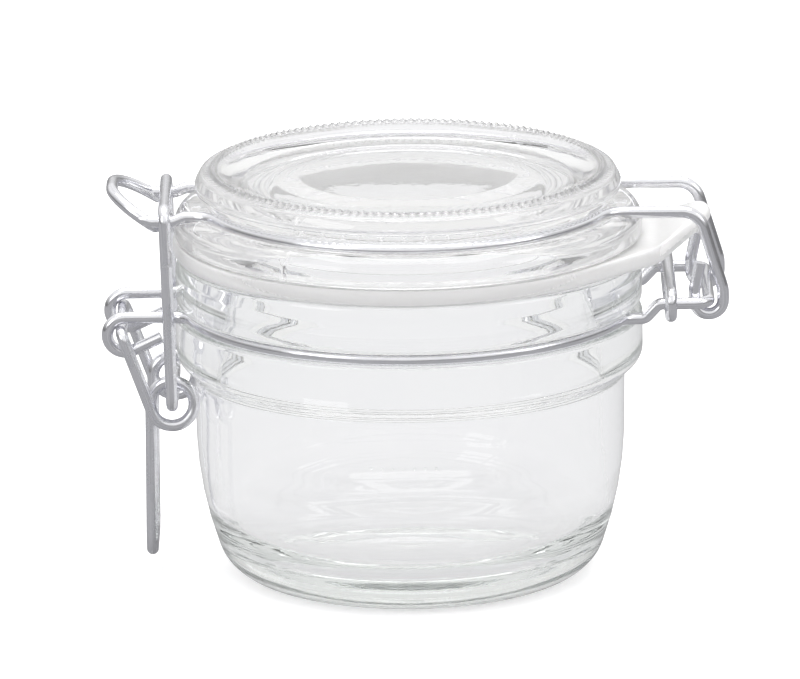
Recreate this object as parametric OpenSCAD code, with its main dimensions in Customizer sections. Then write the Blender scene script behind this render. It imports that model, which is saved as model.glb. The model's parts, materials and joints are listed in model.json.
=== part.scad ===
// Small clip-top preserving jar: glass body and lid, rubber gasket and a bail of steel wire.
// The origin is where the jar's axis meets the table, +Z is up, the hinge is at +X and
// the clip at -X. All sizes are millimetres.

/* [Jar] */
// Diameter of the shoulder bulge
shoulder_d = 82; // [66:0.1:118]
// How far the shoulder stands out past the straight body
ledge = 3.2; // [1:0.1:5]
// Height of the jar without its lid
jar_h = 57.7; // [50:0.1:140]
// Thickness of the glass in the body
glass_t = 4; // [2.5:0.1:5]
// Thickness of the glass in the floor
floor_t = 6; // [4:0.1:9]
// Depth of the hollow under the base
push_up = 1.4; // [0.5:0.1:2.5]
// Radius of the corner between base and side
corner_r = 8.1; // [5:0.1:12]
// Lean of the side where the corner meets the barrel curve above it, in degrees
barrel_lean = 19.7; // [15:0.1:24]
// Height of the straight part of the side, above the barrel curve
straight_h = 7.8; // [2:0.1:12]
// Width of the rim, from the mouth to the shoulder's side
rim_w = 8.5; // [7:0.1:10]
// Height of the neck, from the middle of the wire groove to the rim
neck_h = 9.6; // [8:0.1:14]
// Height from the foot of the shoulder's swell to the middle of the wire groove
shoulder_h = 12.6; // [11:0.1:17]
// Height of that swell, in which the body widens into the shoulder
swell_h = 5; // [4:0.1:7]

/* [Lid] */
// Thickness of the lid's flange at its edge
flange_t = 4.7; // [3:0.1:7]
// Height of the lid above the gasket
lid_h = 12.3; // [10:0.1:18]
// How far in from the flange's edge the edge of the disc on top lies
disc_in = 3.55; // [2.5:0.05:4]
// How far in from the disc's edge the grip ring lies
grip_in = 3.35; // [2.5:0.05:5]
// How far in from the grip ring the shallow dish starts
dish_in = 3.3; // [2.5:0.05:6]
// Depth of that dish below the grip ring
dish_depth = 2.2; // [1:0.1:3]
// Depth of the boss that enters the mouth, below the gasket's top
boss_h = 5.6; // [4:0.1:8]
// Width of the boss's wall
boss_t = 4; // [3:0.1:6]
// Depth of the hollow inside the boss
hollow_h = 10; // [6:0.1:10.5]
// Clearance between boss and mouth
boss_gap = 1; // [0.6:0.1:2]

/* [Gasket] */
// Thickness of the gasket
gasket_t = 3.1; // [2:0.1:4]
// How far the gasket stands out past the shoulder
gasket_proud = 0.35; // [0:0.05:1]
// Clearance between the pull tab and the hinge arms beside it
tab_gap = 0.65; // [0.3:0.05:3]
// How far the pull tab reaches out past the shoulder
tab_out = 11.2; // [8:0.1:16]
// Thickness of the pull tab
tab_t = 2.5; // [1.5:0.1:3]
// Upward slope of the pull tab in degrees
tab_slope = 29; // [15:1:40]

/* [Wire] */
// Diameter of the wire
wire_d = 2.1; // [1.6:0.05:2.4]
// Gap between wires that touch or turn in each other
wire_gap = 0.05; // [0.02:0.01:0.1]
// Gap between a wire and the groove that it lies in
groove_gap = 0.05; // [0.02:0.01:0.3]
// How far in from the flange's edge the middle of the upper ring's wire lies
lid_ring_in = 5.1; // [4.8:0.1:6]
// How far in from the shoulder's side the middle of the lower ring's wire lies
neck_ring_in = 1.5; // [1:0.1:2]

/* [Hinge] */
// How far out from the shoulder the hinge bar lies
hinge_out = 11.3; // [10:0.1:16]
// Height of the hinge bar above the middle of the neck's groove
hinge_rise = 2.6; // [1:0.1:4]
// Half the width of the lower ring's hinge loop, to the wire's middle
hinge_half = 13.1; // [11:0.1:15]
// Clearance between the upper ring's hinge arms and the hinge loop
arm_gap = 0.2; // [0.1:0.05:1]
// Play of the upper ring's hooks on the hinge bar
hook_play = 0.4; // [0.1:0.05:1]
// Length of the hooks' upturned ends
hook_end = 6.8; // [3:0.1:9]
// How far out from the shoulder the clip round the hinge loop's arms lies
clip_out = 4.6; // [4.2:0.1:6]

/* [Latch] */
// How far out from the shoulder the middle of the two eyes lies
eye_out = 8.7; // [7.5:0.1:12]
// Play of the lever's bar in the eyes
eye_play = 1; // [0.3:0.05:1.5]
// Half the width between the two eyes
eye_half = 8.6; // [7:0.1:9.5]
// Distance from the lever's pivot to the middle of its coils
crank = 15.6; // [13:0.1:18]
// Angle between that line and the vertical, in degrees
crank_angle = 34; // [28:0.5:40]
// Mean radius of the coils
coil_r = 3.8; // [3.2:0.1:4.4]
// Height of the handle's end above the table, to the wire's middle
handle_up = 5.37; // [2:0.01:15]
// Outward lean of the handle in degrees
handle_lean = 1; // [0:0.1:6]
// Clearance between the link's legs and the coils
link_gap = 0.25; // [0.1:0.05:1]
// Clearance between the nose's arms and the link's legs
nose_gap = 0.2; // [0.1:0.05:1]
// How far the link's top bar lies past the root of the nose's arms
link_past = 4.12; // [3.5:0.01:6]
// How far past the link's bar the nose's arms turn up
nose_past = 2.9; // [2:0.1:5]
// Reach of the nose beyond that turn
nose_len = 6.3; // [5:0.1:10]
// Upward slope of the nose in degrees
nose_slope = 32; // [25:1:50]
// Dip of the nose's arms below the upper ring
nose_dip = 0.8; // [0:0.1:1.2]

/* [Hidden] */
$fn = 96;

GLASS = [0.84, 0.9, 0.87, 0.5];
RUBBER = [0.9, 0.9, 0.88];
ZINC = [0.76, 0.77, 0.79];

wire_r = wire_d / 2;
pitch = wire_d + wire_gap;          // between the middles of two wires that touch
groove_r = wire_r + groove_gap;
lap = 0.1;                          // how far straight wire runs into a bend
bend_wire_r = wire_r + 0.02;        // bends are a hair thicker, so that the lap lies inside
shoulder_r = shoulder_d / 2;
body_r = shoulder_r - ledge;
mouth_r = shoulder_r - rim_w;

neck_z = jar_h - neck_h;            // middle of the lower ring's groove
shoulder_z = neck_z - shoulder_h;   // foot of the shoulder's swell
seal_z = jar_h + gasket_t;          // the lid's underside
top_z = seal_z + lid_h;             // top of the grip ring
lid_ring_z = seal_z + flange_t + groove_r;
flange_r = shoulder_r;
gasket_r = shoulder_r + gasket_proud;
boss_r = mouth_r - boss_gap;

neck_ring_r = shoulder_r - neck_ring_in;
lid_ring_r = flange_r - lid_ring_in;

hinge_x = shoulder_r + hinge_out;
hinge_z = neck_z + hinge_rise;
arm_half = hinge_half - wire_d - arm_gap;
hook_r = wire_d + hook_play;
eye_x = shoulder_r + eye_out;
eye_r = wire_d + eye_play;
eye_z = neck_z - eye_r;
nose_z = lid_ring_z - nose_dip;

// The lever's bar bears on the inside of the eyes, up and outwards
bar_play = eye_play - wire_gap;
bar_side = 42;                      // from the vertical, in degrees
pivot_x = -eye_x - bar_play * sin(bar_side);
pivot_z = eye_z + bar_play * cos(bar_side);
coil_x = pivot_x + crank * sin(crank_angle);
coil_z = pivot_z - crank * cos(crank_angle);
lever_half = eye_half + pitch;      // the diagonals run just outside the eyes
link_half = lever_half + wire_d + link_gap;
nose_half = link_half - wire_d - nose_gap;
link_top_z = nose_z + pitch;        // the link's top bar lies on the nose's arms

// ---- Geometry helpers ----

function unit(v) = v / norm(v);
function sq(x) = x * x;

// Points on an arc about [cx, cy] from angle a to angle b
function arc(cx, cy, r, a, b, n = 12) =
    [for (i = [0:n]) [cx + r * cos(a + (b - a) * i / n), cy + r * sin(a + (b - a) * i / n)]];

// Turn of a wire at corner i of its route p, in degrees
function turn(p, i) = acos(max(-1, min(1, unit(p[i] - p[i - 1]) * unit(p[i + 1] - p[i]))));

// Length that a bend of radius r takes up on each side of corner i
function setback(p, i, r) = r * tan(turn(p, i) / 2);

// Straight wire from a to b, running a lap into the bends at its ends
module rod(a, b) {
    d = b - a;
    translate(a - unit(d) * lap)
        rotate([0, acos(d.z / norm(d)), atan2(d.y, d.x)])
            cylinder(r = wire_r, h = norm(d) + 2 * lap);
}

// Bent wire of radius r round corner i of route p
module elbow(p, i, r) {
    u = unit(p[i] - p[i - 1]);
    v = unit(p[i + 1] - p[i]);
    n = unit(cross(u, v));
    inward = cross(n, u);
    c = p[i] - u * setback(p, i, r) + inward * r;
    multmatrix([
        [-inward.x, u.x, n.x, c.x],
        [-inward.y, u.y, n.y, c.y],
        [-inward.z, u.z, n.z, c.z],
        [0, 0, 0, 1]
    ])
        rotate_extrude(angle = turn(p, i)) translate([r, 0]) circle(r = bend_wire_r);
}

// Wire along the corners of route p, with a bend radius for each inner corner
module wire(p, bends) {
    last = len(p) - 1;
    for (i = [0:last - 1]) {
        a = i == 0 ? p[0] : p[i] + unit(p[i + 1] - p[i]) * setback(p, i, bends[i - 1]);
        b = i == last - 1 ? p[last]
            : p[i + 1] - unit(p[i + 1] - p[i]) * setback(p, i + 1, bends[i]);
        if (norm(b - a) > lap) rod(a, b);
    }
    if (last > 1)
        for (i = [1:last - 1]) elbow(p, i, bends[i - 1]);
}

// Flat ring arc of mean radius r at height z, from angle a to angle b
module ring_arc(r, z, a, b) {
    more = lap / r * 180 / PI;
    translate([0, 0, z])
        rotate([0, 0, a - more])
            rotate_extrude(angle = b - a + 2 * more) translate([r, 0]) circle(r = wire_r);
}

// Upright curl of mean radius r about [x, y, z], from angle a to angle b in the XZ plane
module curl(x, y, z, r, a, b, section = bend_wire_r) {
    translate([x, y, z])
        rotate([90, 0, 0])
            rotate([0, 0, a])
                rotate_extrude(angle = b - a) translate([r, 0]) circle(r = section);
}

// Where a ring of radius r hands over to an arm at half-width y through a fillet of radius f
function leave_angle(r, y, f) = asin((y + f) / (r + f));
function leave_point(r, y, f) = r * [cos(leave_angle(r, y, f)), sin(leave_angle(r, y, f))];
function arm_corner_x(r, y, f) =
    leave_point(r, y, f).x
        + (leave_point(r, y, f).y - y) * tan(leave_angle(r, y, f));
// Where the arm's straight part starts, past the fillet
function arm_start_x(r, y, f) = (r + f) * cos(leave_angle(r, y, f));

lid_fillet = 6;
nose_root_x = arm_start_x(lid_ring_r, nose_half, lid_fillet);
link_x = nose_root_x + link_past;
nose_bend_x = link_x + nose_past;
nose_x = nose_bend_x + nose_len;

// Both hands of what is drawn at +Y
module both_sides() {
    children();
    mirror([0, 1, 0]) children();
}

// ---- Glass ----

// The barrel curve ends on the straight side, and the corner's arc ends where it starts
barrel_r = (shoulder_z - straight_h - corner_r * (1 - sin(barrel_lean))) / sin(barrel_lean);
foot_r = body_r - barrel_r * (1 - cos(barrel_lean)) - corner_r * cos(barrel_lean);

// Outline of the jar's outside, from the foot to the rim
function jar_outside() =
    let (
        barrel_c = [body_r - barrel_r, shoulder_z - straight_h],
        swell_r = (sq(ledge) + sq(swell_h)) / (4 * ledge),
        swell_a = 2 * atan2(ledge, swell_h)
    )
    concat(
        arc(foot_r, corner_r, corner_r, -90, -barrel_lean, 12),
        arc(barrel_c.x, barrel_c.y, barrel_r, -barrel_lean, -2, 8),
        [[body_r, barrel_c.y]],
        // the body swells into the shoulder bulge through an S of two equal arcs
        arc(body_r + swell_r, shoulder_z, swell_r, 180, 180 - swell_a, 6),
        arc(shoulder_r - swell_r, shoulder_z + swell_h, swell_r, -swell_a, 0, 6),
        arc(shoulder_r - 0.6, neck_z - groove_r - 0.6, 0.6, 0, 90, 3),
        arc(shoulder_r - 0.7, neck_z + groove_r + 0.6, 0.6, -90, 0, 3),
        [[shoulder_r - 0.1, jar_h - 2.9]],
        arc(shoulder_r - 1.7, jar_h - 1.2, 1.2, 0, 90, 5)
    );

// Outline of the jar's inside, from the rim to the floor
function jar_inside() =
    let (
        inner_r = body_r - glass_t,
        knee = 9
    )
    concat(
        arc(mouth_r + 0.8, jar_h - 0.8, 0.8, 90, 180, 4),
        [[mouth_r, neck_z], [inner_r, shoulder_z]],
        arc(inner_r - knee, floor_t + knee, knee, 0, -90, 8)
    );

// Hollow under the base, from its middle to the foot
function jar_underside() =
    let (hollow_r = foot_r - 3.6)
    [for (i = [0:6]) [hollow_r * i / 6, push_up * (1 - pow(i / 6, 2))]];

module jar() {
    color(GLASS) difference() {
        rotate_extrude() polygon(concat(
            jar_underside(), jar_outside(), jar_inside(), [[0, floor_t]]));
        translate([0, 0, neck_z])
            rotate_extrude() translate([neck_ring_r, 0]) circle(r = groove_r);
    }
}

// Outline of the lid, from the hollow in its underside round to the middle of its top
function lid_outline() =
    let (
        disc_r = flange_r - disc_in,
        grip_r = disc_r - grip_in,
        dish_r = grip_r - dish_in,
        groove_in = lid_ring_r - groove_r,
        edge_r = 0.8,                   // rounding of the flange's lower edge
        top_r = min(3.4, flange_t - edge_r - 0.1),
        hollow_r = boss_r - boss_t
    )
    concat(
        [[0, seal_z - boss_h + hollow_h]],
        arc(hollow_r - 4, seal_z - boss_h + hollow_h - 4, 4, 90, 0, 5),
        [[hollow_r, seal_z - boss_h + 0.8], [hollow_r + 0.8, seal_z - boss_h]],
        [[boss_r - 1.2, seal_z - boss_h], [boss_r, seal_z - boss_h + 1.2]],
        [[boss_r, seal_z]],
        arc(flange_r - edge_r, seal_z + edge_r, edge_r, -90, 0, 4),
        arc(flange_r - top_r, seal_z + flange_t - top_r, top_r, 0, 82, 8),
        [[groove_in, seal_z + flange_t], [groove_in, lid_ring_z + groove_r]],
        [[disc_r - 0.9, lid_ring_z + groove_r + 0.3]],
        arc(disc_r - 1.7, top_z - 2.7, 1.7, -10, 68, 6),
        [[grip_r + 0.6, top_z - 0.6], [grip_r, top_z], [grip_r - 1.6, top_z]],
        [[dish_r, top_z - dish_depth + 0.6], [dish_r - 0.6, top_z - dish_depth]],
        [[0, top_z - dish_depth]]
    );

module lid() {
    color(GLASS) rotate_extrude() polygon(lid_outline());
}

// ---- Gasket ----

gasket_in = boss_r + 0.4;
tab_w = 2 * (arm_half - wire_r - tab_gap);
tab_reach = shoulder_r + tab_out;
tab_z = jar_h + gasket_t / 2;
tab_bend_x = shoulder_r + 2.2;      // where the tab starts to rise, clear of the flange

// Side view of the pull tab, as x and z
function tab_side() =
    let (
        s = tab_slope,
        root_x = gasket_r * cos(60),    // well behind where the tab's edges leave the ring
        rise = (tab_reach - tab_bend_x) * tan(s),
        half = tab_t / 2
    )
    [
        [root_x, tab_z - half],
        [tab_bend_x + half * tan(s / 2), tab_z - half],
        [tab_reach + half * sin(s), tab_z + rise - half * cos(s)],
        [tab_reach - half * sin(s), tab_z + rise + half * cos(s)],
        [tab_bend_x - half * tan(s / 2), tab_z + half],
        [root_x, tab_z + half]
    ];

module gasket() {
    tip = tab_w / 2;
    tab_end = tab_reach + tab_t / 2 * sin(tab_slope);
    color(RUBBER) union() {
        translate([0, 0, jar_h])
            rotate_extrude() translate([gasket_in, 0]) square([gasket_r - gasket_in, gasket_t]);
        // the tab's edges leave the ring along its tangents and end in a round tip
        intersection() {
            translate([0, gasket_r, 0])
                rotate([90, 0, 0])
                    linear_extrude(2 * gasket_r) polygon(tab_side());
            translate([0, 0, jar_h - 1]) linear_extrude(20) difference() {
                hull() {
                    circle(r = gasket_r - 0.05);
                    translate([tab_end - tip, 0]) circle(r = tip);
                }
                circle(r = gasket_in + 1);
            }
        }
    }
}

// ---- Wires of the jar ----

hinge_fillet = 4;
eye_fillet = 4;

module neck_ring() {
    r = neck_ring_r;
    hinge_leave = leave_angle(r, hinge_half, hinge_fillet);
    eye_leave = 180 - leave_angle(r, eye_half, eye_fillet);
    hinge_start = leave_point(r, hinge_half, hinge_fillet);
    eye_start = leave_point(r, eye_half, eye_fillet);
    corner_x = arm_corner_x(r, hinge_half, hinge_fillet);
    bar_r = 2.6;                    // bend radius at the ends of the hinge bar
    step_r = 1.6;                   // bend radius where the arms step up
    step_x = arm_start_x(r, hinge_half, hinge_fillet) + 1.1;
    step_len = 2.4;
    tail = 25;                      // slope of the eye's returning end, in degrees
    color(ZINC) {
        // the hinge loop, up to the bar on one side and back on the other
        wire([
            [hinge_start.x, hinge_start.y, neck_z],
            [corner_x, hinge_half, neck_z],
            [step_x, hinge_half, neck_z],
            [step_x + step_len, hinge_half, hinge_z],
            [hinge_x, hinge_half, hinge_z],
            [hinge_x, -hinge_half, hinge_z],
            [step_x + step_len, -hinge_half, hinge_z],
            [step_x, -hinge_half, neck_z],
            [corner_x, -hinge_half, neck_z],
            [hinge_start.x, -hinge_start.y, neck_z]
        ], [hinge_fillet, step_r, step_r, bar_r, bar_r, step_r, step_r, hinge_fillet]);
        both_sides() {
            ring_arc(r, neck_z, hinge_leave, eye_leave);
            // the arm out to the eye, and the eye's curl back under it
            wire([
                [-eye_start.x, eye_start.y, neck_z],
                [-arm_corner_x(r, eye_half, eye_fillet), eye_half, neck_z],
                [-eye_x, eye_half, neck_z]
            ], [eye_fillet]);
            curl(-eye_x, eye_half, eye_z, eye_r, 90, 270 + tail);
            eye_tail = [-eye_x + eye_r * sin(tail), eye_half, eye_z - eye_r * cos(tail)];
            rod(eye_tail, eye_tail + 5.5 * [cos(tail), 0, sin(tail)]);
        }
    }
}

// Oval staple that ties the hinge loop's two arms together
module neck_clip() {
    out = hinge_half + pitch;
    over = pitch;
    gap = 0.5;                      // half the gap between the staple's cut ends
    end_r = over - 0.3;             // bend radius round the arms
    color(ZINC) translate([shoulder_r + clip_out, 0, hinge_z]) {
        wire([
            [0, gap, -over],
            [0, out, -over],
            [0, out, over],
            [0, -out, over],
            [0, -out, -over],
            [0, -gap, -over]
        ], [end_r, end_r, end_r, end_r]);
    }
}

// ---- Wires of the lid ----

module lid_ring() {
    r = lid_ring_r;
    leave = leave_angle(r, arm_half, lid_fillet);
    start = leave_point(r, arm_half, lid_fillet);
    corner_x = arm_corner_x(r, arm_half, lid_fillet);
    nose_leave = leave_angle(r, nose_half, lid_fillet);
    nose_start = leave_point(r, nose_half, lid_fillet);
    nose_corner_x = arm_corner_x(r, nose_half, lid_fillet);
    nose_corner_r = 9;
    nose_r = 3;                     // bend radius where the nose turns up
    nose_tip_z = nose_z + (nose_x - nose_bend_x) * tan(nose_slope);
    shoulder_x = hinge_x - 1.8;     // where the hinge arms turn down
    hook_leg = 2;                   // straight leg of the hooks above the hinge bar
    hook_lean = 1;                  // how far the hooks' upturned ends lean out
    dip_r = 2;                      // bend radius where the nose's arms dip
    dip_x = nose_root_x + 0.6;
    dip_len = 2;
    color(ZINC) {
        // the nose, dipping under the link's bar and turned up beyond it
        wire([
            [-nose_start.x, nose_start.y, lid_ring_z],
            [-nose_corner_x, nose_half, lid_ring_z],
            [-dip_x, nose_half, lid_ring_z],
            [-dip_x - dip_len, nose_half, nose_z],
            [-nose_bend_x, nose_half, nose_z],
            [-nose_x, nose_half, nose_tip_z],
            [-nose_x, -nose_half, nose_tip_z],
            [-nose_bend_x, -nose_half, nose_z],
            [-dip_x - dip_len, -nose_half, nose_z],
            [-dip_x, -nose_half, lid_ring_z],
            [-nose_corner_x, -nose_half, lid_ring_z],
            [-nose_start.x, -nose_start.y, lid_ring_z]
        ], [
            lid_fillet, dip_r, dip_r, nose_r, nose_corner_r,
            nose_corner_r, nose_r, dip_r, dip_r, lid_fillet
        ]);
        both_sides() {
            ring_arc(r, lid_ring_z, leave, 180 - nose_leave);
            // the hinge arm, down the outside of the hinge bar
            wire([
                [start.x, start.y, lid_ring_z],
                [corner_x, arm_half, lid_ring_z],
                [shoulder_x, arm_half, lid_ring_z],
                [hinge_x + hook_r, arm_half, hinge_z + hook_leg],
                [hinge_x + hook_r, arm_half, hinge_z]
            ], [lid_fillet, 4, 6]);
            // round under the bar and up its inside
            curl(hinge_x, arm_half, hinge_z, hook_r, 180, 360);
            wire([
                [hinge_x - hook_r, arm_half, hinge_z],
                [hinge_x - hook_r, arm_half, hinge_z + hook_leg],
                [hinge_x - hook_r + hook_lean, arm_half, hinge_z + hook_end]
            ], [4]);
        }
    }
}

// ---- Latch ----

// Angle of the line from the pivot to the coil, and of the diagonal that touches the coil
diagonal_angle = atan2(coil_z - pivot_z, coil_x - pivot_x) - asin(coil_r / crank);
diagonal_end = [
    coil_x + coil_r * cos(diagonal_angle - 90),
    coil_z + coil_r * sin(diagonal_angle - 90)
];
// Each coil ends one wire further in than it starts, through a tilted half turn
coil_shift = wire_d + 0.1;
coil_tilt = asin(coil_shift / (2 * coil_r));
handle_half = lever_half - coil_shift;
handle_x = coil_x + coil_r - 2 * coil_r * cos(coil_tilt);

module lever() {
    foot_r = 3;                     // bend radius at the bottom of the handle
    bar_r = 1.6;                    // bend radius at the ends of the pivot bar
    foot_x = handle_x - (coil_z - handle_up) * tan(handle_lean);
    more = lap / coil_r * 180 / PI;
    color(ZINC) {
        // from one coil up to the pivot bar, across and down to the other
        wire([
            [diagonal_end.x, lever_half, diagonal_end.y],
            [pivot_x, lever_half, pivot_z],
            [pivot_x, -lever_half, pivot_z],
            [diagonal_end.x, -lever_half, diagonal_end.y]
        ], [bar_r, bar_r]);
        both_sides() {
            // first part of the coil, in the plane of the diagonal
            curl(coil_x, lever_half, coil_z, coil_r, diagonal_angle - 90, 0, wire_r + 0.04);
            // last half turn, tilted inwards
            translate([coil_x + coil_r, lever_half, coil_z])
                rotate([0, 0, coil_tilt])
                    curl(-coil_r, 0, 0, coil_r, -more, 180);
        }
        wire([
            [handle_x, handle_half, coil_z],
            [handle_x, handle_half, coil_z - 3],
            [foot_x, handle_half, handle_up],
            [foot_x, -handle_half, handle_up],
            [handle_x, -handle_half, coil_z - 3],
            [handle_x, -handle_half, coil_z]
        ], [20, foot_r, foot_r, 20]);
    }
}

module link() {
    corner = 2.2;                   // bend radius at the loop's corners
    weld_at = 0.74;                 // height of the weld, as a share of the loop's length
    bead_r = wire_r + 0.25;
    bead_len = 2.4;
    cut = 0.3;                      // half the gap between the wire's ends inside the bead
    top = [-link_x, link_top_z];
    bottom = [coil_x, coil_z];
    along = unit(top - bottom);
    weld = bottom + (top - bottom) * weld_at;
    over = weld + along * cut;
    under = weld - along * cut;
    color(ZINC) {
        wire([
            [over.x, -link_half, over.y],
            [top.x, -link_half, top.y],
            [top.x, link_half, top.y],
            [bottom.x, link_half, bottom.y],
            [bottom.x, -link_half, bottom.y],
            [under.x, -link_half, under.y]
        ], [corner, corner, corner, corner]);
        translate([weld.x, -link_half, weld.y])
            rotate([0, atan2(along.x, along.y), 0])
                cylinder(r = bead_r, h = bead_len, center = true);
    }
}

jar();
neck_ring();
neck_clip();
lid();
lid_ring();
gasket();
lever();
link();
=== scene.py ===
"""Small clip-top preserving jar: glass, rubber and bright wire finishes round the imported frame."""
import json
import math

import bpy
import numpy as np
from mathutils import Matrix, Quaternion, Vector


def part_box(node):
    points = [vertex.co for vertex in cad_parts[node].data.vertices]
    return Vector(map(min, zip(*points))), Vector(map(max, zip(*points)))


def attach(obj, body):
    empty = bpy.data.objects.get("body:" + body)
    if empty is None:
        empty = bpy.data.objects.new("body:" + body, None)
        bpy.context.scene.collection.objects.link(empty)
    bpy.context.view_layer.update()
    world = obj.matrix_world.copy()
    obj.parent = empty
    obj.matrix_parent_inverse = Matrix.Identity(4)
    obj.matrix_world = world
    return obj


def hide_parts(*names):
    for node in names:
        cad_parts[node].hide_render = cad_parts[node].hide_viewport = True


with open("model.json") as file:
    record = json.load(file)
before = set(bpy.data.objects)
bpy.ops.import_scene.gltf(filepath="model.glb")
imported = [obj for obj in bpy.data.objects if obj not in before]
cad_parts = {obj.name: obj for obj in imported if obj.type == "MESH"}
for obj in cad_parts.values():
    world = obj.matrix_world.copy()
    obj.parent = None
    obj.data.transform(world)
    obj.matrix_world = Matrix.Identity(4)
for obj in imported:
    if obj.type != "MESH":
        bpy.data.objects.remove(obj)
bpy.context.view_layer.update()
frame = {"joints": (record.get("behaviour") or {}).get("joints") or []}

MM = 0.001  # the pieces are worked out in millimetres and made in metres


# ---- Camera --------------------------------------------------------------------------

AIM = Vector((-0.00167, 0.0, 0.0413))
CAMERA_AWAY = 1.703
CAMERA_UP = math.radians(14.9)
CAMERA_ROLL = math.radians(-0.65)
LENS = 436.0


def set_camera():
    """A long lens in front of the jar, a little above it."""
    data = bpy.data.cameras.new("camera")
    data.lens = LENS
    data.sensor_width = 36.0
    data.clip_start = 0.05
    data.clip_end = 50.0
    camera = bpy.data.objects.new("camera", data)
    back = Vector((0.0, -math.cos(CAMERA_UP), math.sin(CAMERA_UP)))
    camera.location = AIM + back * CAMERA_AWAY
    camera.rotation_mode = "QUATERNION"
    roll = Quaternion((0.0, 0.0, 1.0), CAMERA_ROLL)
    camera.rotation_quaternion = (-back).to_track_quat("-Z", "Y") @ roll
    bpy.context.scene.collection.objects.link(camera)
    bpy.context.scene.camera = camera


set_camera()


# ---- Sizes, from the frame -----------------------------------------------------------

def box_mm(node):
    """Lowest and highest corner of a CAD node, in millimetres."""
    low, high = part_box(node)
    return np.array(low) / MM, np.array(high) / MM


joint_at = {j["name"]: np.array(j["pos_m"]) / MM for j in frame["joints"]}
hinge_x, hinge_z = joint_at["lid_hinge"][[0, 2]]
pivot_x, pivot_z = joint_at["lever_pivot"][[0, 2]]
coil_x, coil_z = joint_at["link_pivot"][[0, 2]]

WIRE_R = 1.05
PITCH = 2.15  # between the middles of two wires that touch
GROOVE_GAP = 0.05  # between a ring and the groove that it lies in
HINGE_RISE = 2.6  # hinge bar above the neck ring
RING_DROP = 6.5  # top of the lid above the middle of its ring

# half-widths of the wire loops, from the middle plane to the middle of the wire
HINGE_HALF = 13.1
ARM_HALF = 10.8
EYE_HALF = 8.6
LEVER_HALF = 10.75
HANDLE_HALF = 8.55
LINK_HALF = 13.1

jar_h = box_mm("jar")[1][2]
shoulder_r = box_mm("jar")[1][0]
top_z = box_mm("lid")[1][2]
neck_z = hinge_z - HINGE_RISE
lid_ring_z = top_z - RING_DROP
neck_ring_r = box_mm("neck_ring")[1][1] - WIRE_R
lid_ring_r = box_mm("lid_ring")[1][1] - WIRE_R


# ---- Node trees ----------------------------------------------------------------------

class Graph:
    """Adds nodes to a tree and wires them."""

    def __init__(self, tree):
        self.tree = tree

    def add(self, kind, into=None, out=0, **settings):
        """One node: a socket in into is linked and any other value is set. Returns an output."""
        node = self.tree.nodes.new(kind)
        for name, value in settings.items():
            setattr(node, name, value)
        for key, value in (into or {}).items():
            self.feed(node.inputs[key], value)
        return node.outputs[out] if node.outputs else node

    def feed(self, socket, value):
        if isinstance(value, bpy.types.NodeSocket):
            self.tree.links.new(value, socket)
        else:
            socket.default_value = value

    def math(self, operation, a, b=0.0, clamp=False):
        kind = "ShaderNodeMath"
        return self.add(kind, {0: a, 1: b}, operation=operation, use_clamp=clamp)

    def vector(self, operation, a, b):
        return self.add("ShaderNodeVectorMath", {0: a, 1: b}, operation=operation)

    def scaled(self, vector, by):
        return self.add("ShaderNodeVectorMath", {0: vector, "Scale": by}, operation="SCALE")

    def noise(self, where, scale, detail, roughness=0.5, out=0):
        sockets = {"Vector": where, "Scale": scale, "Detail": detail, "Roughness": roughness}
        return self.add("ShaderNodeTexNoise", sockets, out=out)

    def blend(self, share, first, second):
        """The first colour where share is 0 and the second where it is 1."""
        return self.add("ShaderNodeMix", {"Factor": share, 6: first, 7: second},
                        out=2, data_type="RGBA")


def new_group(name, kind, inputs, outputs):
    """An empty node group with named sockets, each given as name: (kind of socket, default)."""
    tree = bpy.data.node_groups.new(name, kind)
    for label, (socket, default) in inputs.items():
        item = tree.interface.new_socket(label, in_out="INPUT", socket_type=socket)
        if default is not None:
            item.default_value = default
    for label, socket in outputs.items():
        tree.interface.new_socket(label, in_out="OUTPUT", socket_type=socket)
    graph = Graph(tree)
    given = tree.nodes.new("NodeGroupInput").outputs
    result = tree.nodes.new("NodeGroupOutput").inputs
    return tree, graph, given, result


FLOAT, GEOMETRY, WHOLE = "NodeSocketFloat", "NodeSocketGeometry", "NodeSocketInt"
COLOUR, MATERIAL = "NodeSocketColor", "NodeSocketMaterial"


def finish_tree(graph, given, result, geometry):
    """Every piece ends as real, smooth geometry in its own material."""
    real = graph.add("GeometryNodeRealizeInstances", {"Geometry": geometry})
    smooth = graph.add("GeometryNodeSetShadeSmooth", {"Geometry": real})
    dressed = graph.add(
        "GeometryNodeSetMaterial", {"Geometry": smooth, "Material": given["Material"]})
    graph.feed(result["Geometry"], dressed)


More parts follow.
